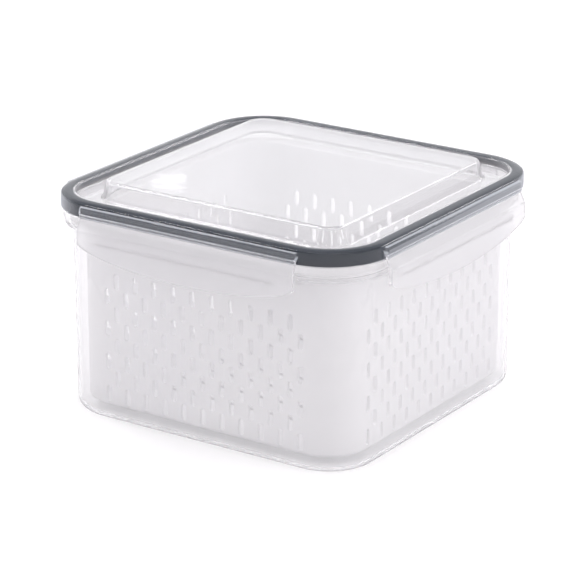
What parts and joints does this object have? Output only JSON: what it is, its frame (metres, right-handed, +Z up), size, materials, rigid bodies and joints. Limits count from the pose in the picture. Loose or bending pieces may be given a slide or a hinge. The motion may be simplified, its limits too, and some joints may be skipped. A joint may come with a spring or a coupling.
{
  "type": "produce keeper",
  "caption": "Square food keeper: clear container, slotted white basket hung inside it, and a clear lid with a sealed rim and a hinged locking flap on each side.",
  "frame": {"origin": "middle of the container's base, on the surface it stands on", "axes": "+Z up out of the container, +X and +Y square to its walls, with the front at -Y"},
  "size_m": [0.2216, 0.2216, 0.1351],
  "materials": {
    "container": "clear moulded plastic, smooth and glossy",
    "basket": "white moulded plastic, smooth with a soft sheen",
    "lid": "clear moulded plastic, smooth and glossy",
    "seal": "dark grey soft rubber, matte",
    "flap": "clear moulded plastic, smooth and glossy"
  },
  "bodies": {
    "root": {"container": "container", "basket": "basket", "lid": "lid", "seal": "seal"},
    "right_flap": {"right_flap": "flap"},
    "back_flap": {"back_flap": "flap"},
    "left_flap": {"left_flap": "flap"},
    "front_flap": {"front_flap": "flap"}
  },
  "joints": [
    {"name": "right_flap_hinge", "type": "hinge", "parent": "root", "child": "right_flap", "pos_m": [0.1066, 0, 0.1231], "axis": [0, -1, 0], "range_deg": [0, 105]},
    {"name": "back_flap_hinge", "type": "hinge", "parent": "root", "child": "back_flap", "pos_m": [0, 0.1066, 0.1231], "axis": [1, 0, 0], "range_deg": [0, 105]},
    {"name": "left_flap_hinge", "type": "hinge", "parent": "root", "child": "left_flap", "pos_m": [-0.1066, 0, 0.1231], "axis": [0, 1, 0], "range_deg": [0, 105]},
    {"name": "front_flap_hinge", "type": "hinge", "parent": "root", "child": "front_flap", "pos_m": [0, -0.1066, 0.1231], "axis": [-1, 0, 0], "range_deg": [0, 105]}
  ]
}
